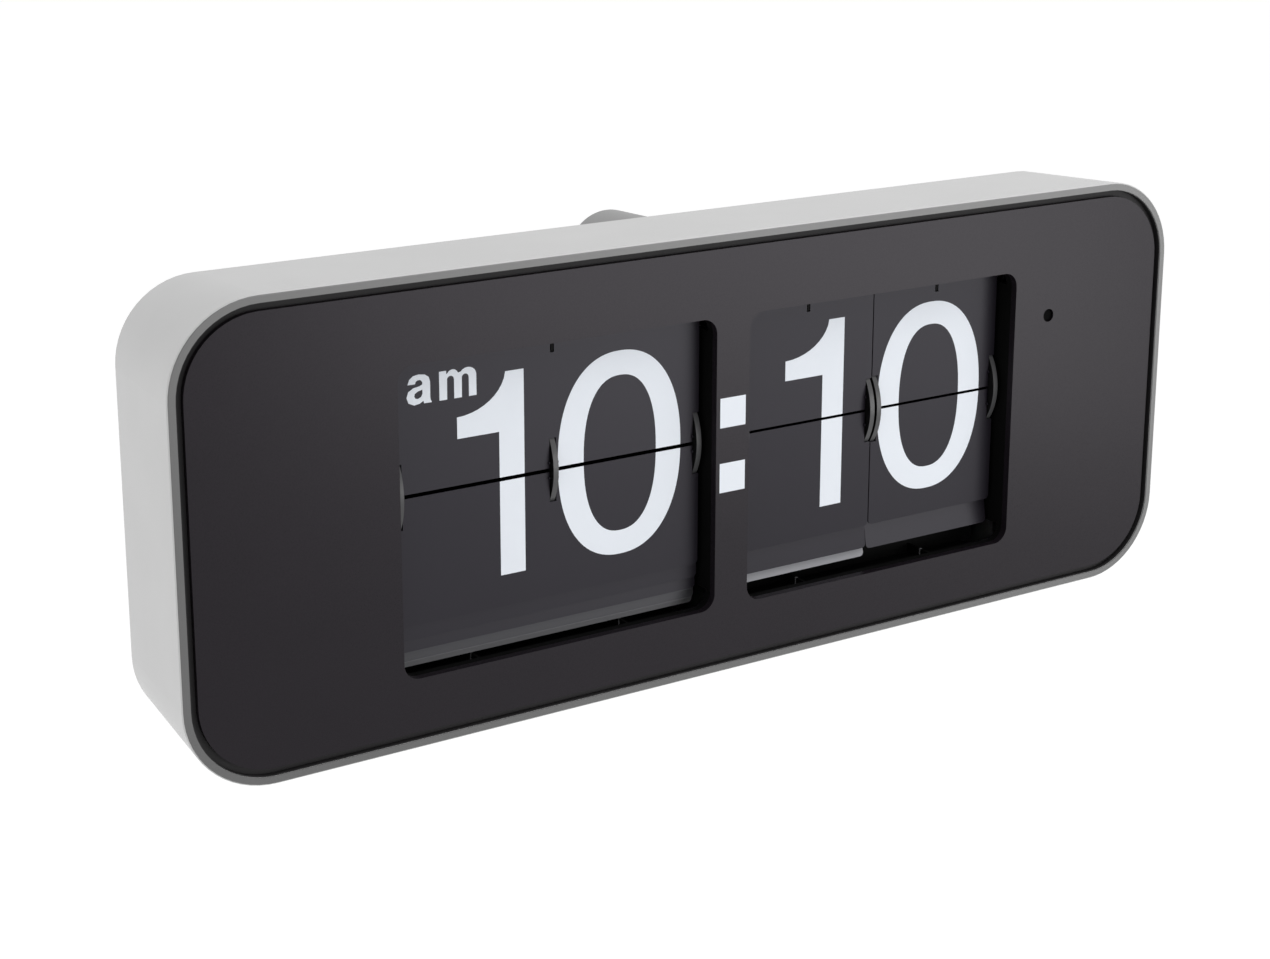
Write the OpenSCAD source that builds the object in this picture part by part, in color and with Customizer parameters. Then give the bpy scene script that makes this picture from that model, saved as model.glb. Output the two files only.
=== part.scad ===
// Flip wall clock: drafted case, dark panel with two windows, three leaf drums, geared drive, wall boss.
// Pieces are drawn with y = 0 at the front rim and z = 0 at mid height, then set in the wall frame:
// origin at the keyhole on the wall face, +X right, +Y into the wall, +Z up. All sizes in millimetres.

/* [Case] */
// Width of the case at the front rim
case_w = 360; // [340:1:400]
// Height of the case at the front rim
case_h = 140; // [136:1:160]
// Depth of the case shell
case_d = 46.5; // [46:0.5:56]
// Corner radius at the front rim
corner_r = 27; // [20:0.5:34]
// How far each side draws in from rim to rear edge
draft = 2.95; // [1:0.05:4]
// Wall of the case shell
case_wall = 2.5; // [2:0.1:3.5]
// Chamfer along the outer edge of the rim
rim_chamfer = 0.6; // [0.3:0.1:1]

/* [Front panel] */
// Dark channel between rim and panel
groove_w = 2.3; // [1:0.1:3]
// How far the panel lies behind the rim
panel_recess = 0.5; // [0.4:0.1:2]
// Thickness of the panel
panel_t = 2.5; // [2:0.1:3]
// Width of the ledge that the panel rests on, past the channel
ledge_w = 5; // [3:0.5:8]
// Room between a leaf and the side of its window
window_play = 1.8; // [1.2:0.1:3]
// Room between the upper leaf and the top of its window
window_above = 1.25; // [1:0.05:2]
// Room between the front lower leaf and the bottom of its window
window_below = 13.35; // [12:0.05:16]
// Corner radius of the windows
window_r = 5; // [3:0.5:8]
// Width of the bar between the windows
bar_w = 12.2; // [11:0.1:16]
// Side of a colon square
colon_side = 9.4; // [6:0.1:10]
// Distance between the middles of the colon squares
colon_pitch = 20.7; // [16:0.1:26]
// Diameter of the light sensor opening
sensor_d = 4.4; // [4:0.1:6]
// Distance of the light sensor opening from the minute window
sensor_out = 14.6; // [12:0.1:18]
// Height of the light sensor opening
sensor_z = 27.7; // [24:0.1:32]

/* [Leaves] */
// Height of the line between upper and lower leaves
split_z = 3.7; // [3:0.1:4.5]
// What the case's half height has beyond one leaf
leaf_margin = 30.8; // [30:0.1:34]
// Width of the hour leaf
leaf_w = 103.4; // [100:0.1:104]
// Thickness of a leaf
leaf_t = 0.4; // [0.3:0.05:0.45]
// Radius of a leaf's hinge lugs
bead_r = 0.4; // [0.35:0.05:0.45]
// Open line between the hour's upper and lower leaf
hour_split = 1.2; // [0.8:0.1:2]
// Open line between the upper and lower leaf of the minutes
minute_split = 0.9; // [0.8:0.1:2]
// Radius of a leaf's free corners
leaf_corner_r = 1.5; // [0.5:0.1:3]
// Gap between the tens leaf and the units leaf
leaf_gap = 0.6; // [0.4:0.1:1]
// Distance of the front hinge lugs behind the rim
leaf_y = 7.3; // [7:0.1:8]

/* [Drums] */
// Radius of the drum discs
disc_r = 19.6; // [19.5:0.1:20.5]
// Thickness of a drum disc
disc_t = 1.7; // [1.2:0.1:2]
// Radius of the circle of leaf pins
pin_circle_r = 18; // [17:0.1:18.4]
// Radius of the drum axle
axle_r = 2.5; // [2:0.1:3]
// Leaves on the hour drum
hour_leaves = 24; // [20:2:24]
// Leaves on the tens drum
tens_leaves = 12; // [12:2:14]
// Leaves on the units drum
units_leaves = 10; // [10:2:12]

/* [Drive] */
// Tooth size of the gears, pitch diameter per tooth
gear_module = 0.8; // [0.7:0.01:0.82]
// Teeth of the gear on the units drum
units_teeth = 44; // [40:1:44]
// Teeth of the idler's large gear
idler_teeth = 36; // [30:1:36]
// Teeth of the idler's small gear and of the motor pinion
pinion_teeth = 12; // [12:1:13]
// Teeth of the setting wheel's gear
setting_teeth = 18; // [18:1:20]
// Thickness of the gears
gear_t = 4; // [3:0.1:4.4]
// Radius of the knurled setting wheel
setting_r = 13.5; // [12.5:0.1:14]
// Radius of the motor can
motor_r = 12; // [9:0.5:12.5]
// Length of the motor can
motor_l = 18; // [12:0.5:24]

/* [Battery] */
// Radius of the round cell
cell_r = 16.6; // [15:0.1:16.8]
// Length of the round cell
cell_l = 61.5; // [50:0.5:62]

/* [Back] */
// Thickness of the back cover
cover_t = 2; // [1.5:0.1:3]
// Depth of the whole clock, rim to wall
total_depth = 75; // [68:0.5:85]
// Radius of the wall boss at its wall end
boss_r = 15.3; // [13:0.1:16]
// Distance of the wall boss's middle below the top of the case
boss_drop = 20.6; // [20.5:0.1:26]
// Radius of the keyhole's round opening
keyhole_r = 4.5; // [4:0.1:5]
// Width of the keyhole's slot
keyhole_slot = 4.4; // [3.6:0.1:5]

/* [Hidden] */
$fn = 48;
// Play between parts that run past each other
clear = 0.3;
// Radial play of a running bore
run_fit = 0.05;
// Overshoot of a cut past the face it opens
past = 1;
ledge_t = 2.5;
colon_depth = 0.6;
sensor_recess = 0.8;
panel_back = panel_recess + panel_t;
panel_inset = case_wall + groove_w;
drum_y = leaf_y + pin_circle_r * cos(180 / hour_leaves);
cover_y = case_d;
cover_back = cover_y + cover_t;
leaf_h = case_h / 2 - leaf_margin;
window_top = split_z + leaf_h + window_above;
window_floor = split_z - leaf_h - window_below;
window_h = window_top - window_floor;
window_z = (window_top + window_floor) / 2;
window_w = leaf_w + 2 * window_play;
window_x = (bar_w + window_w) / 2;
sensor_x = window_x + window_w / 2 + sensor_out;
half_leaf_w = (leaf_w - leaf_gap) / 2;
tens_x = window_x - leaf_w / 2 + half_leaf_w / 2;
units_x = window_x + leaf_w / 2 - half_leaf_w / 2;
leaf_colour = "darkslategray";
// How far successive standing leaves stay apart at the rear wall
stand_step = 0.9;
// How far successive hanging leaves stay apart at their free edges
hang_step = 0.7;
rear_play = 2.2;
disc_inset = 0.2;
disc_windows = 6;
disc_window_r = 3.6;
disc_window_circle = 11;
disc_notch = disc_inset + disc_t + clear;
chamber_wall = 1.5;
chamber_front = panel_back;
chamber_lip = 2.5;
chamber_depth = 16;
chamber_drop = 4;
rib_t = 0.8;
rib_h = 3.2;
plate_t = 2;
side_plate_x = window_x + window_w / 2 + chamber_wall + 1;
plate_y = 10;
// Room between the chassis plates and the case's top and bottom at the rim
plate_room = 7;
plate_top = case_h / 2 - plate_room;
plate_floor = -plate_top;
rod_r = 2;
rod_end = 1;
plate_hole_r = 6;
plate_hole_z = 32;
rod_places = [[14, plate_floor + 3.5], [40, plate_floor + 3.5], [30, plate_top - 3.2]];
hub_r = 5;
sleeve_r = 4;
gear_x = side_plate_x + plate_t + 1.5;
wheel_x = gear_x + gear_t + 1;
gear_plate_x = wheel_x + gear_t + 1;
units_pitch_r = gear_module * units_teeth / 2;
idler_pitch_r = gear_module * idler_teeth / 2;
pinion_pitch_r = gear_module * pinion_teeth / 2;
setting_pitch_r = gear_module * setting_teeth / 2;
idler_angle = 82;
motor_angle = 110;
setting_angle = -58;
drum_place = [drum_y, split_z];
idler_place = drum_place + (units_pitch_r + pinion_pitch_r) * [cos(idler_angle), sin(idler_angle)];
motor_place = idler_place + (idler_pitch_r + pinion_pitch_r) * [cos(motor_angle), sin(motor_angle)];
setting_place = drum_place + (units_pitch_r + setting_pitch_r) * [cos(setting_angle), sin(setting_angle)];
// Angle of a tooth of gear b that meshes with gear a, whose tooth stands at angle tooth_a
function mesh_angle(direction, tooth_a, teeth_a, teeth_b) =
    direction + 180 - (tooth_a - direction) * teeth_a / teeth_b - 180 / teeth_b;
units_phase = 0;
idler_phase = mesh_angle(idler_angle, units_phase, units_teeth, pinion_teeth);
motor_phase = mesh_angle(motor_angle, idler_phase, idler_teeth, pinion_teeth);
setting_phase = mesh_angle(setting_angle, units_phase, units_teeth, setting_teeth);
gear_shaft_r = 1.5;
gear_window_r = 3.4;
gear_window_circle = 10.6;
post_r = 3;
post_places = [[cover_y - 5, 40], [16, -30]];
gear_plate_floor = -36;
gear_plate_top = plate_top - 5;
bay_wall = 2;
case_inner_x = case_w / 2 - draft - case_wall;
// The cell stands midway between the left plate and the case wall
cell_x = -(side_plate_x + plate_t + case_inner_x) / 2;
cell_y = 26;
bay_half_x = cell_r + 1.4;
bay_half_z = cell_l / 2 + 2.6;
bay_front = cell_y - cell_r - 1.4;
contact_t = 0.8;
door_t = 1.8;
door_w = 2 * cell_r + 6.8;
door_h = cell_l + 10.5;
board_t = 1.6;
board_w = 36;
board_h = 30;
board_left = 8;
board_foot_z = 11;
board_foot_r = 3;
board_gap = 0.8;
// Step round the cover's rear edge
cover_step = 0.8;
// Hollow round the setting wheel for a fingertip
thumb_depth = 0.8;
thumb_room = 5;
cover_screw_r = 1.5;
cover_post_r = 4;
cover_screw_l = 10;
screw_head_r = 3;
screw_head_h = 1.8;
chassis_head_r = 2.6;
chassis_head_h = 1.6;
// The chassis screws sit below the battery door
chassis_screw_z = -door_h / 2 - 6;
cover_screw_out = (corner_r - draft - case_wall - cover_post_r + 0.8) * cos(45);
cover_screw_x = case_w / 2 - corner_r + cover_screw_out;
cover_screw_z = case_h / 2 - corner_r + cover_screw_out;
// The wall spacers stand inside the outer chassis screws
spacer_in = 16.6;
spacer_x = side_plate_x + plate_t / 2 - spacer_in;
// Height of the wall spacers above the bottom of the case
spacer_rise = 25;
spacer_z = spacer_rise - case_h / 2;
boss_z = case_h / 2 - boss_drop;
spacer_foot_r = 8;
vent_count = 9;
vent_w = 2;
vent_h = 24;
vent_pitch = 6;
vent_x = 58;
spacer_end_r = 6.5;

// Shared shapes

module rounded_rect(w, h, r) {
    square([w - 2 * r, h], center = true);
    square([w, h - 2 * r], center = true);
    for (sx = [-1, 1])
        for (sz = [-1, 1])
            translate([sx * (w / 2 - r), sz * (h / 2 - r)])
                circle(r = r);
}

// Extrudes an x-z outline from y0 backwards
module facing_front(y0, t) {
    translate([0, y0 + t, 0])
        rotate([90, 0, 0])
            linear_extrude(t)
                children();
}

// Extrudes a y-z outline from x0 to the right
module along_x(x0, l) {
    translate([x0, 0, 0])
        rotate([90, 0, 90])
            linear_extrude(l)
                children();
}

module rod_x(x0, l, r, place) {
    translate([x0, place[0], place[1]])
        rotate([0, 90, 0])
            cylinder(h = l, r = r);
}

module rod_y(y0, l, r1, r2) {
    translate([0, y0, 0])
        rotate([-90, 0, 0])
            cylinder(h = l, r1 = r1, r2 = r2);
}

// Rounded box whose sides stand in by inset0 at y0 and by inset1 at y1
module drafted_box(y0, y1, inset0, inset1) {
    flat_x = case_w / 2 - corner_r;
    flat_z = case_h / 2 - corner_r;
    for (sx = [-1, 1])
        for (sz = [-1, 1])
            translate([sx * flat_x, 0, sz * flat_z])
                rod_y(y0, y1 - y0, corner_r - inset0, corner_r - inset1);
    z0 = case_h / 2 - inset0;
    z1 = case_h / 2 - inset1;
    along_x(-flat_x, 2 * flat_x)
        polygon([[y0, -z0], [y1, -z1], [y1, z1], [y0, z0]]);
    x0 = case_w / 2 - inset0;
    x1 = case_w / 2 - inset1;
    translate([0, 0, -flat_z])
        linear_extrude(2 * flat_z)
            polygon([[-x0, y0], [x0, y0], [x1, y1], [-x1, y1]]);
}

function draft_at(y) = draft * y / case_d;

// Case and panel

module case_shell() {
    ledge_inset = panel_inset + ledge_w;
    color("silver") {
        difference() {
            union() {
                drafted_box(0, rim_chamfer, rim_chamfer, draft_at(rim_chamfer));
                drafted_box(rim_chamfer, case_d, draft_at(rim_chamfer), draft);
            }
            drafted_box(-past, panel_back, case_wall + draft_at(-past), case_wall + draft_at(panel_back));
            drafted_box(panel_back + ledge_t, case_d + past,
                case_wall + draft_at(panel_back + ledge_t), case_wall + draft_at(case_d + past));
            facing_front(panel_back - past, ledge_t + 2 * past)
                rounded_rect(case_w - 2 * ledge_inset, case_h - 2 * ledge_inset, corner_r - ledge_inset);
        }
        for (sx = [-1, 1])
            for (sz = [-1, 1])
                translate([sx * cover_screw_x, 0, sz * cover_screw_z])
                    cover_post();
    }
}

// Post in a corner of the case, against wall and ledge, that takes a cover screw
module cover_post() {
    post_y = panel_back + ledge_t;
    difference() {
        rod_y(post_y - past / 2, case_d - post_y + past / 2, cover_post_r, cover_post_r);
        rod_y(case_d - cover_screw_l, cover_screw_l + past, cover_screw_r + run_fit, cover_screw_r + run_fit);
    }
}

module front_panel() {
    w = case_w - 2 * panel_inset;
    h = case_h - 2 * panel_inset;
    color("dimgray") {
        difference() {
            facing_front(panel_recess, panel_t)
                rounded_rect(w, h, corner_r - panel_inset);
            for (sx = [-1, 1])
                translate([sx * window_x, 0, window_z])
                    facing_front(panel_recess - past, panel_t + 2 * past)
                        rounded_rect(window_w, window_h, window_r);
            translate([sensor_x, 0, sensor_z])
                rod_y(panel_recess - past, panel_t + 2 * past, sensor_d / 2, sensor_d / 2);
            colon_blocks(panel_recess - past, colon_depth + past);
        }
        for (sz = [-1, 1])
            translate([sensor_x, 0, sensor_z + sz * board_foot_z])
                rod_y(panel_back - past / 2, board_gap + past / 2, board_foot_r, board_foot_r);
    }
}

module colon_blocks(y0, depth) {
    for (sz = [-1, 1])
        translate([-colon_side / 2, y0, split_z + sz * colon_pitch / 2 - colon_side / 2])
            cube([colon_side, depth, colon_side]);
}

module colon_marks() {
    color("white")
        colon_blocks(panel_recess, colon_depth);
}

// Black surround of a window: lip behind the panel, two cheeks and a ribbed floor
module chamber(x, rib_places) {
    w = window_w + 2 * chamber_wall;
    cheek_top = window_top - window_r;
    floor_z = window_floor - chamber_drop - chamber_wall;
    color("black")
        translate([x, 0, 0]) {
            translate([0, 0, window_z])
                facing_front(chamber_front, chamber_lip)
                    difference() {
                        translate([0, -chamber_drop / 2])
                            rounded_rect(w, window_h + 2 * chamber_wall + chamber_drop, window_r + chamber_wall);
                        rounded_rect(window_w, window_h, window_r);
                    }
            for (sx = [-1, 1])
                translate([sx * (window_w + chamber_wall) / 2 - chamber_wall / 2, chamber_front, window_floor + window_r])
                    cube([chamber_wall, chamber_depth, cheek_top - window_floor - window_r]);
            translate([-window_w / 2 + window_r, chamber_front, floor_z])
                cube([window_w - 2 * window_r, chamber_depth, chamber_wall]);
            for (rib = rib_places)
                translate([rib - rib_t / 2, chamber_front + chamber_lip - past, floor_z + chamber_wall / 2])
                    cube([rib_t, chamber_depth - chamber_lip + past, chamber_wall / 2 + rib_h]);
        }
}

module hour_chamber() {
    chamber(-window_x, [-leaf_w / 4, leaf_w / 4]);
}

module minute_chamber() {
    chamber(window_x, [-leaf_w / 4, leaf_w / 4]);
}

// Leaves, drawn round their own hinge lugs with the free edge up; the front upper one is notched for its catch

function pin_offset(count) = pin_circle_r * sin(180 / count);
function leaf_reach(count) = leaf_h - pin_offset(count);

module leaf(w, count, centre_disc, notched = false) {
    reach = leaf_reach(count);
    heel = pin_offset(count) - (count == hour_leaves ? hour_split : minute_split) / 2;
    plate_back = bead_r + leaf_t / 2;
    notch_h = sqrt(pow(disc_r, 2) - pow(pin_circle_r * cos(180 / count) - plate_back, 2)) + 0.5 - pin_offset(count);
    body_w = w - 2 * disc_notch;
    catch_w = 1.3;
    catch_h = 3.4;
    lug_l = 0.5;
    lug_places = concat([-body_w / 2, body_w / 2 - lug_l],
        centre_disc ? [-disc_t / 2 - clear - lug_l, disc_t / 2 + clear] : []);
    translate([0, bead_r - leaf_t / 2, 0])
        facing_front(0, leaf_t)
            difference() {
                union() {
                    translate([-body_w / 2, -heel])
                        square([body_w, reach + heel - leaf_corner_r]);
                    translate([-w / 2, notch_h])
                        square([w, reach - notch_h - leaf_corner_r]);
                    translate([-w / 2 + leaf_corner_r, reach - 2 * leaf_corner_r])
                        square([w - 2 * leaf_corner_r, 2 * leaf_corner_r]);
                    for (sx = [-1, 1])
                        translate([sx * (w / 2 - leaf_corner_r), reach - leaf_corner_r])
                            circle(r = leaf_corner_r);
                }
                if (notched)
                    translate([-catch_w / 2, reach - catch_h])
                        square([catch_w, catch_h + past]);
                if (centre_disc)
                    translate([-disc_t / 2 - clear, -heel - past])
                        square([disc_t + 2 * clear, notch_h + heel + past]);
            }
    for (x = lug_places)
        rod_x(x, lug_l, bead_r, [0, 0]);
}

// A leaf standing at pin k of the upper half, leaning back on the ones behind it
module standing_leaf(w, count, centre_disc, k) {
    a = (k + 0.5) * 360 / count;
    y = drum_y - pin_circle_r * cos(a);
    rear_limit = case_d - rear_play - (count / 2 - 1 - k) * stand_step;
    lean = k == 0 ? 0 : min(a / 5, asin(min(1, (rear_limit - y) / leaf_reach(count))));
    translate([0, y, split_z + pin_circle_r * sin(a)])
        rotate([-lean, 0, 0])
            leaf(w, count, centre_disc, k == 0);
}

// A leaf hanging at pin k of the lower half, its free edge drawn forward onto the stack
module hanging_leaf(w, count, centre_disc, k) {
    a = (k + 0.5) * 360 / count;
    y = drum_y - pin_circle_r * cos(a);
    front_y = drum_y - pin_circle_r * cos(180 / count);
    end_y = front_y + k * hang_step;
    swing = k == 0 || a > 89 ? 0 : asin(max(0, y - end_y) / leaf_reach(count));
    translate([0, y, split_z - pin_circle_r * sin(a)])
        rotate([-swing, 0, 0])
            mirror([0, 0, 1])
                leaf(w, count, centre_disc);
}

module leaf_stack(w, count, centre_disc) {
    for (k = [1 : count / 2 - 1]) {
        standing_leaf(w, count, centre_disc, k);
        hanging_leaf(w, count, centre_disc, k);
    }
}

module hour_upper_leaf() {
    color(leaf_colour)
        translate([-window_x, 0, 0])
            standing_leaf(leaf_w, hour_leaves, true, 0);
}

module hour_lower_leaf() {
    color(leaf_colour)
        translate([-window_x, 0, 0])
            hanging_leaf(leaf_w, hour_leaves, true, 0);
}

module hour_leaf_stack() {
    color(leaf_colour)
        translate([-window_x, 0, 0])
            leaf_stack(leaf_w, hour_leaves, true);
}

module tens_upper_leaf() {
    color(leaf_colour)
        translate([tens_x, 0, 0])
            standing_leaf(half_leaf_w, tens_leaves, false, 0);
}

module tens_lower_leaf() {
    color(leaf_colour)
        translate([tens_x, 0, 0])
            hanging_leaf(half_leaf_w, tens_leaves, false, 0);
}

module tens_leaf_stack() {
    color(leaf_colour)
        translate([tens_x, 0, 0])
            leaf_stack(half_leaf_w, tens_leaves, false);
}

module units_upper_leaf() {
    color(leaf_colour)
        translate([units_x, 0, 0])
            standing_leaf(half_leaf_w, units_leaves, false, 0);
}

module units_lower_leaf() {
    color(leaf_colour)
        translate([units_x, 0, 0])
            hanging_leaf(half_leaf_w, units_leaves, false, 0);
}

module units_leaf_stack() {
    color(leaf_colour)
        translate([units_x, 0, 0])
            leaf_stack(half_leaf_w, units_leaves, false);
}

// Thin finger that stands in the notch of an upper leaf, on a foot behind the chamber lip
module catch_finger(x, count) {
    finger_w = 0.6;
    finger_t = 0.4;
    finger_low = split_z + leaf_h - 3;
    finger_y = drum_y - pin_circle_r * cos(180 / count) + bead_r - finger_t / 2;
    foot_w = 8;
    foot_y = chamber_front + chamber_lip;
    foot_z = window_top + 0.2;
    color("gray")
        translate([x, 0, 0]) {
            translate([-foot_w / 2, foot_y, foot_z])
                cube([foot_w, finger_t, chamber_wall]);
            translate([-finger_w / 2, foot_y, foot_z])
                cube([finger_w, finger_y + finger_t - foot_y, chamber_wall]);
            translate([-finger_w / 2, finger_y, finger_low])
                cube([finger_w, finger_t, foot_z + chamber_wall - finger_low]);
        }
}

module hour_catch() {
    catch_finger(-window_x, hour_leaves);
}

module tens_catch() {
    catch_finger(tens_x, tens_leaves);
}

module units_catch() {
    catch_finger(units_x, units_leaves);
}

// Drums

module drum_disc(x0, count) {
    difference() {
        rod_x(x0, disc_t, disc_r, drum_place);
        rod_x(x0 - past, disc_t + 2 * past, hub_r - 0.5, drum_place);
        for (k = [0 : count - 1]) {
            a = (k + 0.5) * 360 / count;
            rod_x(x0 - past, disc_t + 2 * past, bead_r + run_fit, drum_place + pin_circle_r * [cos(a), sin(a)]);
        }
        for (a = [0 : 360 / disc_windows : 359])
            rod_x(x0 - past, disc_t + 2 * past, disc_window_r, drum_place + disc_window_circle * [cos(a), sin(a)]);
    }
}

module drum(w, x, count, discs) {
    x0 = x - w / 2 + disc_inset;
    l = w - 2 * disc_inset;
    color("gray")
        difference() {
            union() {
                rod_x(x0, l, hub_r, drum_place);
                for (d = discs)
                    drum_disc(x0 + d * (l - disc_t), count);
            }
            rod_x(x0 - past, l + 2 * past, axle_r + run_fit, drum_place);
        }
}

module hour_drum() {
    drum(leaf_w, -window_x, hour_leaves, [0, 0.5, 1]);
}

module tens_drum() {
    drum(half_leaf_w, tens_x, tens_leaves, [0, 1]);
}

module units_drum() {
    drum(half_leaf_w, units_x, units_leaves, [0, 1]);
    sleeve_x = units_x + half_leaf_w / 2 - disc_inset - disc_t;
    color("gray")
        difference() {
            rod_x(sleeve_x, gear_x + gear_t - sleeve_x, sleeve_r, drum_place);
            rod_x(sleeve_x - past, gear_x + gear_t - sleeve_x + 2 * past, axle_r + run_fit, drum_place);
        }
}

module drum_axle() {
    color("lightgray")
        rod_x(-side_plate_x - plate_t - rod_end, side_plate_x + gear_plate_x + 2 * (plate_t + rod_end), axle_r, drum_place);
}

// Bushes that keep the drums in place along the axle
module axle_spacers() {
    hour_left = -window_x - leaf_w / 2 + disc_inset;
    hour_right = -window_x + leaf_w / 2 - disc_inset;
    tens_left = window_x - leaf_w / 2 + disc_inset;
    color("lightgray") {
        bush(-side_plate_x, hour_left - clear);
        bush(hour_right + clear, -plate_t / 2);
        bush(plate_t / 2, tens_left - clear);
    }
}

module bush(x0, x1) {
    difference() {
        rod_x(x0, x1 - x0, sleeve_r, drum_place);
        rod_x(x0 - past, x1 - x0 + 2 * past, axle_r + run_fit / 2, drum_place);
    }
}

// Chassis

module plate_outline() {
    chamfer = 8;
    polygon([[plate_y, plate_floor], [cover_y, plate_floor], [cover_y, plate_top], [plate_y + chamfer, plate_top],
        [plate_y, plate_top - chamfer]]);
}

module chassis_plate(x0, bore_r) {
    color("lightgray")
        difference() {
            along_x(x0, plate_t)
                plate_outline();
            rod_x(x0 - past, plate_t + 2 * past, bore_r, drum_place);
            for (place = rod_places)
                rod_x(x0 - past, plate_t + 2 * past, rod_r + run_fit / 2, place);
            for (sz = [-1, 1])
                rod_x(x0 - past, plate_t + 2 * past, plate_hole_r, [drum_y, split_z + sz * plate_hole_z]);
        }
}

module left_plate() {
    chassis_plate(-side_plate_x - plate_t, axle_r + run_fit / 2);
}

module centre_plate() {
    chassis_plate(-plate_t / 2, axle_r + run_fit / 2);
}

module right_plate() {
    difference() {
        chassis_plate(side_plate_x, sleeve_r + run_fit);
        for (place = [idler_place, setting_place])
            rod_x(side_plate_x - past, plate_t + 2 * past, gear_shaft_r + run_fit / 2, place);
        for (place = post_places)
            rod_x(side_plate_x - past, plate_t + 2 * past, post_r / 2 + run_fit / 2, place);
    }
}

module tie_rods() {
    color("lightgray")
        for (place = rod_places)
            rod_x(-side_plate_x - plate_t - rod_end, 2 * (side_plate_x + plate_t + rod_end), rod_r, place);
}

// Drive

function involute(r, base_r) = r <= base_r ? 0 : tan(acos(base_r / r)) - acos(base_r / r) * PI / 180;

// Spur gear outline with straight flanks between the root and the tip of an involute tooth
module gear_outline(teeth, phase) {
    pressure_angle = 25;
    play = 0.2;
    pitch_r = gear_module * teeth / 2;
    base_r = pitch_r * cos(pressure_angle);
    addendum = 0.8;
    tip_r = pitch_r + addendum * gear_module;
    root_r = pitch_r - gear_module;
    half_pitch = 90 / teeth - play / 2 / pitch_r * 180 / PI;
    half_root = half_pitch + (involute(pitch_r, base_r) - involute(root_r, base_r)) * 180 / PI;
    half_tip = half_pitch + (involute(pitch_r, base_r) - involute(tip_r, base_r)) * 180 / PI;
    polygon([
        for (k = [0 : teeth - 1])
            for (p = [[root_r, -half_root], [tip_r, -half_tip], [tip_r, half_tip], [root_r, half_root]])
                p[0] * [cos(phase + k * 360 / teeth + p[1]), sin(phase + k * 360 / teeth + p[1])]
    ]);
}

module gear(x0, place, teeth, phase, bore_r) {
    difference() {
        translate([0, place[0], place[1]])
            along_x(x0, gear_t)
                gear_outline(teeth, phase);
        rod_x(x0 - past, gear_t + 2 * past, bore_r, place);
    }
}

module units_gear() {
    color("ivory")
        difference() {
            gear(gear_x, drum_place, units_teeth, units_phase, sleeve_r);
            for (a = [0 : 360 / disc_windows : 359])
                rod_x(gear_x - past, gear_t + 2 * past, gear_window_r, drum_place + gear_window_circle * [cos(a), sin(a)]);
        }
}

module idler_gear() {
    color("ivory") {
        gear(gear_x, idler_place, pinion_teeth, idler_phase, gear_shaft_r + run_fit);
        gear(wheel_x, idler_place, idler_teeth, idler_phase, gear_shaft_r + run_fit);
        difference() {
            rod_x(gear_x + gear_t, wheel_x - gear_x - gear_t, pinion_pitch_r - gear_module, idler_place);
            rod_x(gear_x, wheel_x - gear_x, gear_shaft_r + run_fit, idler_place);
        }
    }
}

module idler_shaft() {
    color("lightgray")
        rod_x(side_plate_x, gear_plate_x + plate_t - side_plate_x, gear_shaft_r, idler_place);
}

module motor_pinion() {
    color("ivory") {
        translate([0, motor_place[0], motor_place[1]])
            along_x(wheel_x, gear_t)
                gear_outline(pinion_teeth, motor_phase);
        rod_x(wheel_x + gear_t - past, gear_plate_x + plate_t - wheel_x - gear_t + past, gear_shaft_r, motor_place);
    }
}

module motor() {
    end_boss_l = 2;
    color("slategray") {
        difference() {
            rod_x(gear_plate_x + plate_t, motor_l, motor_r, motor_place);
            rod_x(gear_plate_x + plate_t - past, past + clear, gear_shaft_r + 1, motor_place);
        }
        rod_x(gear_plate_x + plate_t + motor_l, end_boss_l, motor_r / 3, motor_place);
    }
}

module setting_wheel() {
    knurls = 30;
    knurl_depth = 0.8;
    color("gray") {
        gear(gear_x, setting_place, setting_teeth, setting_phase, gear_shaft_r + run_fit);
        difference() {
            union() {
                translate([0, setting_place[0], setting_place[1]])
                    along_x(wheel_x, gear_t)
                        polygon([for (k = [0 : 2 * knurls - 1])
                            (setting_r - (k % 2) * knurl_depth) * [cos(k * 180 / knurls), sin(k * 180 / knurls)]]);
                rod_x(gear_x + gear_t, wheel_x - gear_x - gear_t, setting_pitch_r - gear_module, setting_place);
            }
            rod_x(gear_x, wheel_x + gear_t + past - gear_x, gear_shaft_r + run_fit, setting_place);
        }
    }
}

module setting_shaft() {
    color("lightgray")
        rod_x(side_plate_x, gear_plate_x + plate_t - side_plate_x, gear_shaft_r, setting_place);
}

// Outer plate that carries the far ends of the gear shafts and the motor
module gear_plate() {
    color("lightgray")
        difference() {
            along_x(gear_plate_x, plate_t)
                polygon([[plate_y, gear_plate_floor], [cover_y, gear_plate_floor], [cover_y, gear_plate_top],
                    [plate_y, gear_plate_top]]);
            rod_x(gear_plate_x - past, plate_t + 2 * past, axle_r + run_fit / 2, drum_place);
            rod_x(gear_plate_x - past, plate_t + 2 * past, gear_shaft_r + run_fit, motor_place);
            for (place = [idler_place, setting_place])
                rod_x(gear_plate_x - past, plate_t + 2 * past, gear_shaft_r + run_fit / 2, place);
            for (place = post_places)
                rod_x(gear_plate_x - past, plate_t + 2 * past, post_r / 2 + run_fit / 2, place);
        }
}

// Stepped posts between the right plate and the gear plate
module plate_posts() {
    color("lightgray")
        for (place = post_places) {
            rod_x(side_plate_x + plate_t, gear_plate_x - side_plate_x - plate_t, post_r, place);
            rod_x(side_plate_x, gear_plate_x + plate_t - side_plate_x, post_r / 2, place);
        }
}

// Electrics

module circuit_board() {
    color("darkgreen")
        translate([sensor_x - board_left, panel_back + board_gap, sensor_z - board_h / 2])
            cube([board_w, board_t, board_h]);
}

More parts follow.
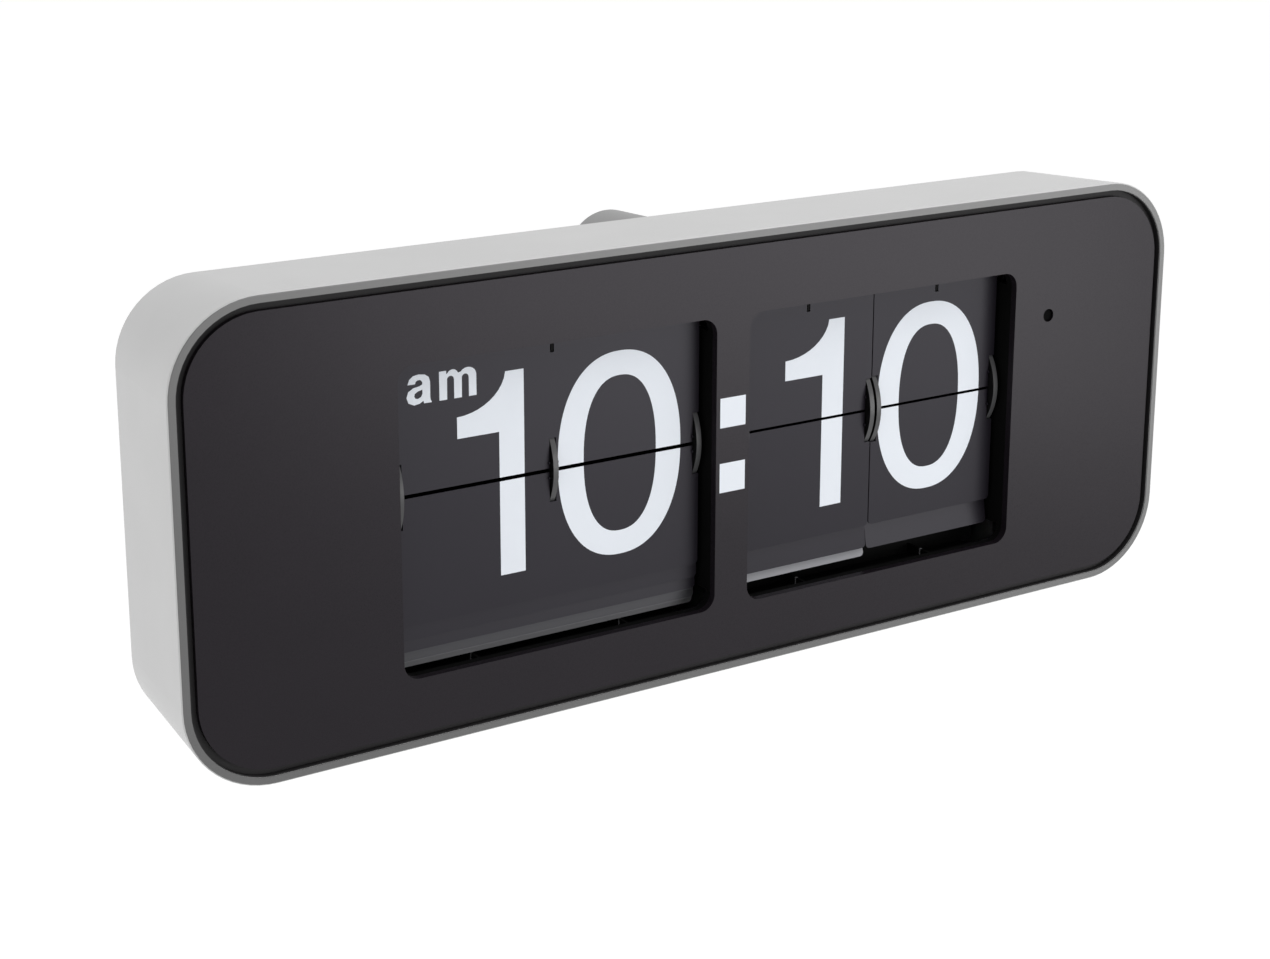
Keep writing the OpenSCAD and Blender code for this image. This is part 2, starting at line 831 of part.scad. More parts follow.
module light_sensor() {
    r = sensor_d / 2 - 0.2;
    front_y = panel_recess + sensor_recess;
    color("black")
        translate([sensor_x, 0, sensor_z])
            rod_y(front_y, panel_back + board_gap - front_y, r, r);
}

module battery_bay() {
    depth = cover_y - bay_front + bay_wall;
    color("dimgray")
        translate([cell_x, 0, 0])
            difference() {
                translate([-bay_half_x - bay_wall, bay_front - bay_wall, -bay_half_z - bay_wall])
                    cube([2 * (bay_half_x + bay_wall), depth, 2 * (bay_half_z + bay_wall)]);
                translate([-bay_half_x, bay_front, -bay_half_z])
                    cube([2 * bay_half_x, depth, 2 * bay_half_z]);
            }
}

module battery_cell() {
    cap_r = 4.75;
    cap_h = 1.4;
    color("goldenrod")
        translate([cell_x, cell_y, -cell_l / 2]) {
            cylinder(h = cell_l, r = cell_r);
            translate([0, 0, cell_l])
                cylinder(h = cap_h, r = cap_r);
        }
}

module battery_contacts() {
    plate_w = 16;
    spring_r1 = 6;
    spring_r2 = 4;
    color("lightgray")
        translate([cell_x, cell_y, 0]) {
            translate([-plate_w / 2, -plate_w / 2, bay_half_z - contact_t])
                cube([plate_w, plate_w, contact_t]);
            translate([-plate_w / 2, -plate_w / 2, -bay_half_z])
                cube([plate_w, plate_w, contact_t]);
            translate([0, 0, -bay_half_z + contact_t / 2])
                cylinder(h = bay_half_z - cell_l / 2 - contact_t / 2, r1 = spring_r1, r2 = spring_r2);
        }
}

// Rail of the battery door: a strip beside it with a lip over its edge
module door_rail(side) {
    rail_w = 2;
    lip = 1.2;
    lip_t = 1.2;
    inner_x = door_w / 2 + clear;
    rail_top = cover_back + 2 * clear + door_t + lip_t;
    translate([side < 0 ? -inner_x - rail_w : inner_x, cover_back - past / 2, -door_h / 2])
        cube([rail_w, rail_top - cover_back + past / 2, door_h]);
    translate([side < 0 ? -inner_x - rail_w : inner_x - lip, rail_top - lip_t, -door_h / 2])
        cube([rail_w + lip, lip_t, door_h]);
}

module battery_door() {
    grip_y = cover_back + clear + door_t;
    grip_w = 18;
    grip_h = 1.2;
    grip_depth = 0.6;
    grip_z = -door_h / 2 + 12;
    color("gray")
        translate([cell_x, 0, 0]) {
            difference() {
                facing_front(cover_back + clear, door_t)
                    square([door_w, door_h], center = true);
                for (k = [-2 : 2])
                    translate([-grip_w / 2, grip_y - grip_depth, grip_z + k * 2 * grip_h])
                        cube([grip_w, past, grip_h]);
            }
        }
}

// Back

module cover_outline(inset) {
    rounded_rect(case_w - 2 * inset, case_h - 2 * inset, corner_r - inset);
}

module back_cover() {
    inset = draft + 1.5;
    slot_play = 0.6;
    hole_r = cover_screw_r + 0.2;
    slot_z = sqrt(pow(setting_r, 2) - pow(max(0, cover_y - setting_place[0]), 2)) + 1;
    color("dimgray") {
        difference() {
            union() {
                facing_front(cover_y, cover_t - cover_step)
                    cover_outline(inset);
                facing_front(cover_y, cover_t)
                    cover_outline(inset + cover_step);
            }
            translate([cell_x, cover_y - past, 0])
                translate([-bay_half_x, 0, -bay_half_z])
                    cube([2 * bay_half_x, cover_t + 2 * past, 2 * bay_half_z]);
            translate([wheel_x + gear_t / 2, 0, setting_place[1]])
                facing_front(cover_back - thumb_depth, thumb_depth + past)
                    rounded_rect(gear_t + 2 * thumb_room, 2 * (slot_z + thumb_room), thumb_room);
            translate([wheel_x - slot_play, cover_y - past, setting_place[1] - slot_z])
                cube([gear_t + 2 * slot_play, cover_t + 2 * past, 2 * slot_z]);
            for (sx = [-1, 1])
                for (sz = [-1, 1])
                    translate([sx * cover_screw_x, 0, sz * cover_screw_z])
                        rod_y(cover_y - past, cover_t + 2 * past, hole_r, hole_r);
            for (sx = [-1, 1])
                for (k = [0 : vent_count - 1])
                    translate([sx * vent_x + (k - (vent_count - 1) / 2) * vent_pitch, 0, 0])
                        facing_front(cover_y - past, cover_t + 2 * past)
                            rounded_rect(vent_w, vent_h, vent_w / 2 - 0.01);
        }
        translate([cell_x, 0, 0])
            for (side = [-1, 1])
                door_rail(side);
    }
}

module cover_screws() {
    cross_l = 3.6;
    cross_w = 0.7;
    cross_depth = 0.8;
    color("lightgray")
        for (sx = [-1, 1])
            for (sz = [-1, 1])
                translate([sx * cover_screw_x, 0, sz * cover_screw_z]) {
                    rod_y(cover_back - cover_screw_l, cover_screw_l, cover_screw_r, cover_screw_r);
                    difference() {
                        rod_y(cover_back, screw_head_h, screw_head_r, screw_head_r - 0.8);
                        for (a = [0, 90])
                            rotate([0, a, 0])
                                translate([-cross_l / 2, cover_back + screw_head_h - cross_depth, -cross_w / 2])
                                    cube([cross_l, cross_depth + past, cross_w]);
                    }
                }
}

// Hollow tapered boss with a rounded end and a keyhole
module wall_boss() {
    end_t = 2.5;
    wall = 2.8;
    edge_r = 2;
    slot_rise = keyhole_r + 3;
    boss_l = total_depth - cover_back;
    foot_r = boss_r + 1.1;
    color("silver")
        translate([0, cover_back, boss_z])
            difference() {
                union() {
                    rod_y(0, boss_l - edge_r, foot_r, boss_r);
                    rod_y(boss_l - edge_r - past / 2, edge_r + past / 2, boss_r - edge_r, boss_r - edge_r);
                    translate([0, boss_l - edge_r, 0])
                        rotate([-90, 0, 0])
                            rotate_extrude()
                                translate([boss_r - edge_r, 0])
                                    intersection() {
                                        circle(r = edge_r);
                                        translate([-edge_r, 0])
                                            square([2 * edge_r, edge_r]);
                                    }
                }
                rod_y(-past, boss_l - end_t + past, foot_r - wall, boss_r - wall);
                rod_y(boss_l - end_t - past, end_t + 2 * past, keyhole_r, keyhole_r);
                translate([0, 0, slot_rise])
                    rod_y(boss_l - end_t - past, end_t + 2 * past, keyhole_slot / 2, keyhole_slot / 2);
                translate([-keyhole_slot / 2, boss_l - end_t - past, 0])
                    cube([keyhole_slot, end_t + 2 * past, slot_rise]);
            }
}

module wall_spacers() {
    color("dimgray")
        for (sx = [-1, 1])
            translate([sx * spacer_x, 0, spacer_z])
                rod_y(cover_back, total_depth - cover_back, spacer_foot_r, spacer_end_r);
}

module chassis_screws() {
    color("lightgray")
        for (x = [-side_plate_x - plate_t / 2, 0, side_plate_x + plate_t / 2])
            translate([x, 0, chassis_screw_z])
                rod_y(cover_back, chassis_head_h, chassis_head_r, chassis_head_r - 0.6);
}

module in_wall_frame() {
    translate([0, -total_depth, -boss_z])
        children();
}

in_wall_frame() case_shell();
in_wall_frame() front_panel();
in_wall_frame() colon_marks();
in_wall_frame() hour_chamber();
in_wall_frame() minute_chamber();
in_wall_frame() back_cover();
in_wall_frame() cover_screws();
in_wall_frame() wall_boss();
in_wall_frame() wall_spacers();
in_wall_frame() battery_bay();
in_wall_frame() battery_cell();
in_wall_frame() battery_contacts();
in_wall_frame() battery_door();
in_wall_frame() left_plate();
in_wall_frame() centre_plate();
in_wall_frame() right_plate();
in_wall_frame() tie_rods();
in_wall_frame() drum_axle();
in_wall_frame() axle_spacers();
in_wall_frame() hour_drum();
in_wall_frame() tens_drum();
in_wall_frame() units_drum();
in_wall_frame() hour_upper_leaf();
in_wall_frame() tens_upper_leaf();
in_wall_frame() units_upper_leaf();
in_wall_frame() hour_lower_leaf();
in_wall_frame() tens_lower_leaf();
in_wall_frame() units_lower_leaf();
in_wall_frame() hour_leaf_stack();
in_wall_frame() tens_leaf_stack();
in_wall_frame() units_leaf_stack();
in_wall_frame() hour_catch();
in_wall_frame() tens_catch();
in_wall_frame() units_catch();
in_wall_frame() units_gear();
in_wall_frame() idler_gear();
in_wall_frame() idler_shaft();
in_wall_frame() motor();
in_wall_frame() motor_pinion();
in_wall_frame() setting_wheel();
in_wall_frame() setting_shaft();
in_wall_frame() gear_plate();
in_wall_frame() plate_posts();
in_wall_frame() circuit_board();
in_wall_frame() light_sensor();
in_wall_frame() chassis_screws();
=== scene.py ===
"""Looks of the flip wall clock: materials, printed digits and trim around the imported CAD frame."""

import math

import bmesh
import bpy
from mathutils import Matrix, Vector


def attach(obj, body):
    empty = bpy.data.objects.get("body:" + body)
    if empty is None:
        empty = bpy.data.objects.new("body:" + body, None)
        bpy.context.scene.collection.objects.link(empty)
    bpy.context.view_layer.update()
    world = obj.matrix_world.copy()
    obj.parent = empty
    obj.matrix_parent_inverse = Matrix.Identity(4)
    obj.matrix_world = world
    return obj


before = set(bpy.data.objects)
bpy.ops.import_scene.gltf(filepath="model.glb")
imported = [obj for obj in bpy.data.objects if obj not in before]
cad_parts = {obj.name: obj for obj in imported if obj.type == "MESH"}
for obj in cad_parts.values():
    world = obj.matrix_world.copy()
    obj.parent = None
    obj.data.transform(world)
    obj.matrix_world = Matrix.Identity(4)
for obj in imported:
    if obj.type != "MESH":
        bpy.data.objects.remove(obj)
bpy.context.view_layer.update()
scene = bpy.context.scene
scene.view_settings.view_transform = "Standard"

# Sizes repeat part.scad, in millimetres, in its front frame: y = 0 at the rim, z = 0 at mid height.
MM_PER_M = 1000
TOTAL_DEPTH = 75.0
BOSS_Z = 49.4
CASE_W, CASE_H, CORNER_R = 360.0, 140.0, 27.0
CASE_WALL, GROOVE_W = 2.5, 2.3
PANEL_RECESS, PANEL_T = 0.5, 2.5
WINDOW_X = 59.6
WINDOW_FLOOR = -48.85
LEAF_Y, LEAF_T, BEAD_R = 7.3, 0.4, 0.4
LEAF_W = 103.4
SPLIT_Z = 3.7
SPLITS = {"hour": 1.2, "tens": 0.9, "units": 0.9}
COUNTS = {"hour": 24, "tens": 12, "units": 10}
PIN_R, DISC_R = 18.0, 19.6
DRUM_Y = LEAF_Y + PIN_R * math.cos(math.pi / COUNTS["hour"])
RIB_T, RIB_OUT = 0.8, LEAF_W / 4


def at(x, y, z):
    """A point of the front frame in the row frame, in metres."""
    return Vector((x, y - TOTAL_DEPTH, z - BOSS_Z)) / MM_PER_M


# Camera

IMAGE_W, IMAGE_H = 1270, 959
CAMERA_PLACE = (-378.4, -538.2, 204.2)
CAMERA_YAW, CAMERA_PITCH, CAMERA_ROLL = 0.5669, 0.2452, -0.0014
FOCAL_PX = 2244.5
AXIS_PX_Y = 330
SENSOR_MM = 36
CLIP_START = 0.01


def make_camera():
    forward = Vector((
        math.sin(CAMERA_YAW) * math.cos(CAMERA_PITCH),
        math.cos(CAMERA_YAW) * math.cos(CAMERA_PITCH),
        -math.sin(CAMERA_PITCH),
    ))
    right = Vector((math.cos(CAMERA_YAW), -math.sin(CAMERA_YAW), 0))
    up = right.cross(forward)
    rolled_right = right * math.cos(CAMERA_ROLL) - up * math.sin(CAMERA_ROLL)
    rolled_up = right * math.sin(CAMERA_ROLL) + up * math.cos(CAMERA_ROLL)
    data = bpy.data.cameras.new("camera")
    data.sensor_width = SENSOR_MM
    data.lens = FOCAL_PX / IMAGE_W * SENSOR_MM
    data.shift_y = (AXIS_PX_Y - IMAGE_H / 2) / IMAGE_W
    data.clip_start = CLIP_START
    camera = bpy.data.objects.new("camera", data)
    scene.collection.objects.link(camera)
    turn = Matrix((rolled_right, rolled_up, -forward)).transposed().to_4x4()
    camera.matrix_world = Matrix.Translation(at(*CAMERA_PLACE)) @ turn
    scene.camera = camera


make_camera()


# Materials

CLOUD_SCALE, CLOUD_DETAIL = 35, 3
CLOUD_LOW, CLOUD_HIGH = 0.3, 0.7
FINE_DETAIL = 2
BUMP_DEPTH = 0.0002
COAT_ROUGH = 0.2
# Colour sockets of a mix node
MIX_A, MIX_B, MIX_OUT = 6, 7, 2


def node_of(tree, kind, **values):
    """A new node, with values set on its properties or else on its inputs."""
    made = tree.nodes.new(kind)
    for name, value in values.items():
        if hasattr(made, name):
            setattr(made, name, value)
        else:
            made.inputs[name].default_value = value
    return made


def ramp_between(tree, source, low, high, dark, light):
    """Colour ramp from dark to light while source goes from low to high."""
    ramp = node_of(tree, "ShaderNodeValToRGB")
    first, last = ramp.color_ramp.elements
    first.position = low
    first.color = (*dark, 1)
    last.position = high
    last.color = (*light, 1)
    tree.links.new(source, ramp.inputs["Fac"])
    return ramp.outputs["Color"]


def scaled(colour, factor):
    return tuple(min(1.0, c * factor) for c in colour)


class Finish:
    """A procedural material: mottled base colour, uneven gloss and a fine bump, all in object space."""

    def __init__(self, name, colour, rough, spread=0.05, tone=0.06, grain=2500, bump=0.02, metal=0.0,
                 specular=0.5, gloss_hue=(1, 1, 1), coat=0.0, stretch=(1, 1, 1)):
        self.material = bpy.data.materials.new(name)
        self.material.use_nodes = True
        self.tree = self.material.node_tree
        self.shader = self.tree.nodes["Principled BSDF"]
        self.coords = node_of(self.tree, "ShaderNodeTexCoord").outputs["Object"]
        mapping = node_of(self.tree, "ShaderNodeMapping", Scale=stretch)
        self.link(self.coords, mapping.inputs["Vector"])
        self.stretched = mapping.outputs["Vector"]
        self.shader.inputs["Metallic"].default_value = metal
        self.shader.inputs["Specular IOR Level"].default_value = specular
        self.shader.inputs["Specular Tint"].default_value = (*gloss_hue, 1)
        self.shader.inputs["Coat Weight"].default_value = coat
        self.shader.inputs["Coat Roughness"].default_value = COAT_ROUGH
        cloud = self.noise(CLOUD_SCALE, CLOUD_DETAIL)
        dark, light = scaled(colour, 1 - tone), scaled(colour, 1 + tone)
        self.base = ramp_between(self.tree, cloud, CLOUD_LOW, CLOUD_HIGH, dark, light)
        fine = self.noise(grain, FINE_DETAIL)
        gloss = node_of(self.tree, "ShaderNodeMapRange")
        gloss.inputs["To Min"].default_value = rough - spread
        gloss.inputs["To Max"].default_value = rough + spread
        self.link(fine, gloss.inputs["Value"])
        self.link(gloss.outputs["Result"], self.shader.inputs["Roughness"])
        height = node_of(self.tree, "ShaderNodeBump", Strength=bump, Distance=BUMP_DEPTH)
        self.link(fine, height.inputs["Height"])
        self.link(height.outputs["Normal"], self.shader.inputs["Normal"])
        self.link(self.base, self.shader.inputs["Base Color"])

    def link(self, source, target):
        self.tree.links.new(source, target)

    def noise(self, scale, detail):
        made = node_of(self.tree, "ShaderNodeTexNoise", Scale=scale, Detail=detail)
        self.link(self.stretched, made.inputs["Vector"])
        return made.outputs["Fac"]

    def math(self, operation, a, b=0.0):
        """A math node on two numbers or sockets."""
        made = node_of(self.tree, "ShaderNodeMath", operation=operation)
        for socket, value in zip(made.inputs, (a, b)):
            if isinstance(value, (int, float)):
                socket.default_value = value
            else:
                self.link(value, socket)
        return made.outputs["Value"]

    def near(self, value, centre, half):
        """1 where value lies within half of centre, in metres."""
        distance = self.math("ABSOLUTE", self.math("SUBTRACT", value, centre))
        return self.math("LESS_THAN", distance, half)

    def axis(self, name):
        parts = node_of(self.tree, "ShaderNodeSeparateXYZ")
        self.link(self.coords, parts.inputs["Vector"])
        return parts.outputs[name]

    def tint(self, mask, colour):
        """Lays a colour, or a colour socket, over the base where mask is 1."""
        mix = node_of(self.tree, "ShaderNodeMix", data_type="RGBA")
        self.link(mask, mix.inputs["Factor"])
        self.link(self.base, mix.inputs[MIX_A])
        if isinstance(colour, tuple):
            mix.inputs[MIX_B].default_value = (*colour, 1)
        else:
            self.link(colour, mix.inputs[MIX_B])
        self.base = mix.outputs[MIX_OUT]
        self.link(self.base, self.shader.inputs["Base Color"])


SILVER = (0.57, 0.57, 0.57)
RIM_DEPTH = 0.25
# Rim greys: painted shade at the lower left, painted light at the upper right
RIM_SHADE_GREY, RIM_LIT_GREY = (0.135, 0.135, 0.135), (0.210, 0.210, 0.210)
RIM_FROM, RIM_TO = 0.25, 0.75


def silver_with_painted_rim_shading():
    """Silver paint; its rim is painted a darker grey that goes from painted shade at the lower left to
    painted light at the upper right.
    """
    made = Finish("silver_paint_and_rim_shading", SILVER, 0.42, tone=0.02, grain=6000, bump=0.03, specular=0.4)
    share_x = made.math("MULTIPLY", made.axis("X"), MM_PER_M / (2 * CASE_W))
    height = made.math("SUBTRACT", made.axis("Z"), at(0, 0, 0).z)
    share_z = made.math("MULTIPLY", height, MM_PER_M / (2 * CASE_H))
    rise = made.math("ADD", made.math("ADD", share_x, share_z), 0.5)
    rim_painted_shading = ramp_between(made.tree, rise, RIM_FROM, RIM_TO, RIM_SHADE_GREY, RIM_LIT_GREY)
    # Painted shade and light: lays the graded grey over the front of the rim
    made.tint(made.math("LESS_THAN", made.axis("Y"), at(0, RIM_DEPTH, 0).y), rim_painted_shading)
    return made


RIB_HIGHLIGHT_GREY = (0.30, 0.30, 0.31)
RIB_LINE_Y, RIB_LINE_T, RIB_LINE_DROP = 11.7, 0.7, 0.3
RIB_REACH = 0.6


def chamber_with_rib_highlights():
    """Black, with a pale painted highlight line across each of the two ribs of a chamber's floor."""
    made = Finish("chamber_black_rib_highlights", (0.003, 0.003, 0.003), 0.7, tone=0.1, grain=3000, bump=0.05, specular=0.05)
    from_middle = made.math("ABSOLUTE", made.axis("X"))
    from_window = made.math("ABSOLUTE", made.math("SUBTRACT", from_middle, WINDOW_X / MM_PER_M))
    on_rib = made.near(from_window, RIB_OUT / MM_PER_M, RIB_REACH * RIB_T / MM_PER_M)
    on_line = made.near(made.axis("Y"), at(0, RIB_LINE_Y, 0).y, RIB_LINE_T / (2 * MM_PER_M))
    below = made.math("LESS_THAN", made.axis("Z"), at(0, 0, WINDOW_FLOOR - RIB_LINE_DROP).z)
    # Painted highlight: a pale grey line where light catches each rib
    made.tint(made.math("MULTIPLY", made.math("MULTIPLY", on_rib, on_line), below), RIB_HIGHLIGHT_GREY)
    return made


DISC_RIM_T = 0.1
DISC_RIM_HIGHLIGHT_GREY = (0.082, 0.082, 0.084)


def drum_with_rim_highlight():
    """Dark plastic, with a painted highlight on the rims of the drum's discs."""
    made = Finish("drum_dark_rim_highlight", (0.006, 0.006, 0.006), 0.3, tone=0.06, grain=3000, bump=0.03, specular=0.24)
    centre = at(0, DRUM_Y, SPLIT_Z)
    off_y = made.math("SUBTRACT", made.axis("Y"), centre.y)
    off_z = made.math("SUBTRACT", made.axis("Z"), centre.z)
    square = made.math("ADD", made.math("MULTIPLY", off_y, off_y), made.math("MULTIPLY", off_z, off_z))
    rim_start = ((DISC_R - DISC_RIM_T) / MM_PER_M) ** 2
    # Painted highlight: paler grey on the outer rim of each disc
    made.tint(made.math("GREATER_THAN", square, rim_start), DISC_RIM_HIGHLIGHT_GREY)
    return made


COPPER = (0.42, 0.22, 0.08)
COPPER_Z = 12


def cell_finish():
    """Dark wrap with a copper-coloured upper end."""
    made = Finish("cell_wrap", (0.03, 0.03, 0.035), 0.3, tone=0.05, grain=2500, bump=0.02, coat=0.4)
    made.tint(made.math("GREATER_THAN", made.axis("Z"), at(0, 0, COPPER_Z).z), COPPER)
    return made


# Leaves of a hanging stack tip towards the light, the lowest ones most: their paler colours below given
# heights are painted light, standing in for the light these leaves catch
LEAF_DARK = (0.0132, 0.0114, 0.0160)
LEAF_GLOSS_HUE = (0.94, 0.93, 1.0)
HOUR_LIT_STRIPS = [(-43.8, (0.050, 0.050, 0.054)), (-46.9, (0.115, 0.116, 0.120))]
TENS_LIT_STRIPS = [(-43.5, (0.340, 0.342, 0.362))]
LEAF_LOOKS = {
    "hour_upper_leaf": (0.235, ()),
    "hour_lower_leaf": (0.212, ()),
    "hour_leaf_stack": (0.235, HOUR_LIT_STRIPS),
    "tens_upper_leaf": (0.198, ()),
    "tens_lower_leaf": (0.180, ()),
    "tens_leaf_stack": (0.148, TENS_LIT_STRIPS),
    "units_upper_leaf": (0.195, ()),
    "units_lower_leaf": (0.186, ()),
    "units_leaf_stack": (0.190, ()),
}


def leaf_with_lit_strips(name, specular, lit_strips):
    made = Finish(name, LEAF_DARK, 0.36, tone=0.04, grain=5000, bump=0.02, specular=specular,
                  gloss_hue=LEAF_GLOSS_HUE)
    # Painted light: a paler colour below each height
    for height, colour in lit_strips:
        made.tint(made.math("LESS_THAN", made.axis("Z"), at(0, 0, height).z), colour)
    return made


# The boss is the case's silver painted darker: painted shade for the shade it sits in behind the case
boss_silver_painted_shade = Finish("boss_silver_painted_shade", (0.31, 0.31, 0.31), 0.5, tone=0.02, grain=5000, bump=0.02, specular=0.3)
panel_dark = Finish("panel_dark", (0.0100, 0.0078, 0.0104), 0.28, tone=0.05, grain=9000, bump=0.02,
                    specular=0.185, gloss_hue=(0.97, 0.94, 1.0))
print_white = Finish("print_white", (0.86, 0.90, 0.96), 0.55, tone=0.01, grain=4000, bump=0.01, specular=0.3)
matte_black = Finish("matte_black", (0.006, 0.006, 0.006), 0.7, tone=0.1, grain=3000, bump=0.05, specular=0.1)
gasket = Finish("gasket_black", (0.020, 0.019, 0.020), 0.6, tone=0.1, grain=4000, bump=0.05, specular=0.25)
back_grey = Finish("back_grey", (0.045, 0.045, 0.047), 0.55, tone=0.08, grain=2200, bump=0.25, specular=0.4)
zinc = Finish("zinc_steel", (0.55, 0.55, 0.56), 0.34, spread=0.08, tone=0.1, grain=900, bump=0.04, metal=1.0,
              stretch=(1, 0.12, 1))
acetal = Finish("natural_acetal", (0.74, 0.72, 0.64), 0.4, tone=0.03, grain=2500, bump=0.03)
motor_can = Finish("motor_can", (0.48, 0.48, 0.5), 0.3, spread=0.08, tone=0.08, grain=1200, bump=0.04,
                   metal=1.0, stretch=(0.1, 1, 1))
board_green = Finish("board_green", (0.018, 0.09, 0.035), 0.3, tone=0.15, grain=1500, bump=0.05, coat=0.3)
sensor_lens = Finish("sensor_lens", (0.003, 0.003, 0.003), 0.6, tone=0.1, grain=1500, bump=0.01,
                     specular=0.02)

NODE_FINISH = {
    silver_with_painted_rim_shading(): ["case_shell"],
    boss_silver_painted_shade: ["wall_boss"],
    panel_dark: ["front_panel"],
    print_white: ["colon_marks"],
    chamber_with_rib_highlights(): ["hour_chamber", "minute_chamber"],
    matte_black: ["hour_catch", "tens_catch", "units_catch", "drum_axle", "axle_spacers"],
    back_grey: ["back_cover", "wall_spacers", "battery_bay", "battery_door", "setting_wheel"],
    drum_with_rim_highlight(): ["hour_drum", "tens_drum", "units_drum"],
    zinc: ["left_plate", "centre_plate", "right_plate", "gear_plate", "tie_rods", "idler_shaft",
           "setting_shaft", "plate_posts", "cover_screws", "chassis_screws", "battery_contacts"],
    acetal: ["units_gear", "idler_gear", "motor_pinion"],
    motor_can: ["motor"],
    board_green: ["circuit_board"],
    sensor_lens: ["light_sensor"],
    cell_finish(): ["battery_cell"],
}
for name, (specular, lit_strips) in LEAF_LOOKS.items():
    NODE_FINISH[leaf_with_lit_strips(f"{name}_dark", specular, lit_strips)] = [name]
for finish, names in NODE_FINISH.items():
    for name in names:
        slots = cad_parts[name].data.materials
        slots.clear()
        slots.append(finish.material)


# Printed digits: flat outlines in the x-z plane of a leaf, cut at the hinge, then given a print's thickness

PRINT_T, PRINT_SINK = 0.05, 0.02
FRONT_FACE = BEAD_R - LEAF_T / 2
BACK_FACE = BEAD_R + LEAF_T / 2
CURVE_STEPS = 10
ROUND_SIDE, ROUND_CAP = 8.9, 7.5
ZERO_OUTER_STEPS, ZERO_INNER_STEPS = 96, 72
ZERO_OUTER_POWER, ZERO_INNER_POWER = 2.25, 2.35
ONE_STEM, ONE_TOP = 8.3, 6.1
FLAG_LOW, FLAG_HIGH = 17.8, 11.4
SWEEP_POWER_X, SWEEP_POWER_Z = 1.6, 1.75
TWO_BEND_RISE, TWO_FOOT = 18.5, 7.8
TWO_START, TWO_END, TWO_STEPS = 175, -38, 30
TWO_KNEE, TWO_HEEL_X, TWO_HEEL_Z = 12, 1.5, 3
M_STEM = 0.205


def arc(cx, cz, rx, rz, start, end, steps, power=2.0):
    """Points on a superellipse between two angles in degrees."""
    points = []
    for i in range(steps + 1):
        a = math.radians(start + (end - start) * i / steps)
        c, s = math.cos(a), math.sin(a)
        x = math.copysign(abs(c) ** (2 / power), c)
        z = math.copysign(abs(s) ** (2 / power), s)
        points.append((cx + rx * x, cz + rz * z))
    return points


def zero(x0, x1, z0, z1):
    cx, cz = (x0 + x1) / 2, (z0 + z1) / 2
    rx, rz = (x1 - x0) / 2, (z1 - z0) / 2
    outer = arc(cx, cz, rx, rz, 0, 360, ZERO_OUTER_STEPS, ZERO_OUTER_POWER)
    inner = arc(cx, cz, rx - ROUND_SIDE, rz - ROUND_CAP, 0, 360, ZERO_INNER_STEPS, ZERO_INNER_POWER)
    return [outer[:-1], inner[:-1]]


def one(x0, x1, z0, z1):
    flag_low, flag_high = z1 - FLAG_LOW, z1 - FLAG_HIGH
    sweep_x, sweep_z = x1 - ONE_TOP - x0, z1 - flag_high
    stem_x = x1 - ONE_STEM
    sweep = []
    for i in range(CURVE_STEPS + 1):
        t = i / CURVE_STEPS
        x = x1 - ONE_TOP - sweep_x * (1 - t) ** SWEEP_POWER_X
        sweep.append((x, flag_high + sweep_z * t ** SWEEP_POWER_Z))
    return [[(x1, z0), (x1, z1), *reversed(sweep), (x0, flag_low), (stem_x, flag_low), (stem_x, z0)]]


def two(x0, x1, z0, z1):
    cx, rx = (x0 + x1) / 2, (x1 - x0) / 2
    cz = z1 - TWO_BEND_RISE
    foot_z = z0 + TWO_FOOT
    outer = arc(cx, cz, rx, TWO_BEND_RISE, TWO_START, TWO_END, TWO_STEPS)
    inner = arc(cx, cz, rx - ROUND_SIDE, TWO_BEND_RISE - ROUND_CAP, TWO_END, TWO_START, TWO_STEPS)
    base = [(x0 + TWO_KNEE, foot_z), (x1, foot_z), (x1, z0), (x0, z0), (x0 + TWO_HEEL_X, foot_z + TWO_HEEL_Z)]
    return [[*outer, *base, *inner]]


def stretched(loops, x0, z0, w, h):
    """Loops drawn in a unit square, laid into a box."""
    return [[(x0 + w * x, z0 + h * z) for x, z in loop] for loop in loops]


def letter_a(x0, z0, w, h):
    outer = [(1.0, 0.0), (0.70, 0.0), (0.67, 0.09), (0.52, 0.01), (0.30, -0.02), (0.08, 0.07), (0.0, 0.26),
             (0.07, 0.45), (0.27, 0.56), (0.52, 0.60), (0.64, 0.65), (0.64, 0.73), (0.56, 0.81), (0.46, 0.81),
             (0.38, 0.77), (0.35, 0.69), (0.05, 0.69), (0.12, 0.86), (0.28, 0.97), (0.50, 1.0), (0.74, 0.97),
             (0.90, 0.87), (0.95, 0.72), (0.95, 0.18), (0.97, 0.07), (1.0, 0.04)]
    counter = [(0.64, 0.47), (0.45, 0.43), (0.33, 0.36), (0.31, 0.27), (0.36, 0.20), (0.46, 0.18),
               (0.58, 0.23), (0.64, 0.33)]
    return stretched([outer, counter], x0, z0, w, h)


def letter_m(x0, z0, w, h):
    outline = [(0, 0), (0, 0.98), (0.19, 0.98), (0.19, 0.86)]
    outline += arc(0.36, 0.78, 0.16, 0.22, 150, 20, 6)
    outline += arc(0.77, 0.72, 0.23, 0.28, 145, 0, 8)
    outline += [(1, 0), (1 - M_STEM, 0), (1 - M_STEM, 0.66)]
    outline += arc(0.70, 0.66, 0.095, 0.13, 30, 165, 6)
    outline += [(0.5 + M_STEM / 2, 0), (0.5 - M_STEM / 2, 0), (0.5 - M_STEM / 2, 0.66)]
    outline += arc(0.302, 0.66, 0.095, 0.13, 30, 165, 6)
    outline += [(M_STEM, 0)]
    return stretched([outline], x0, z0, w, h)


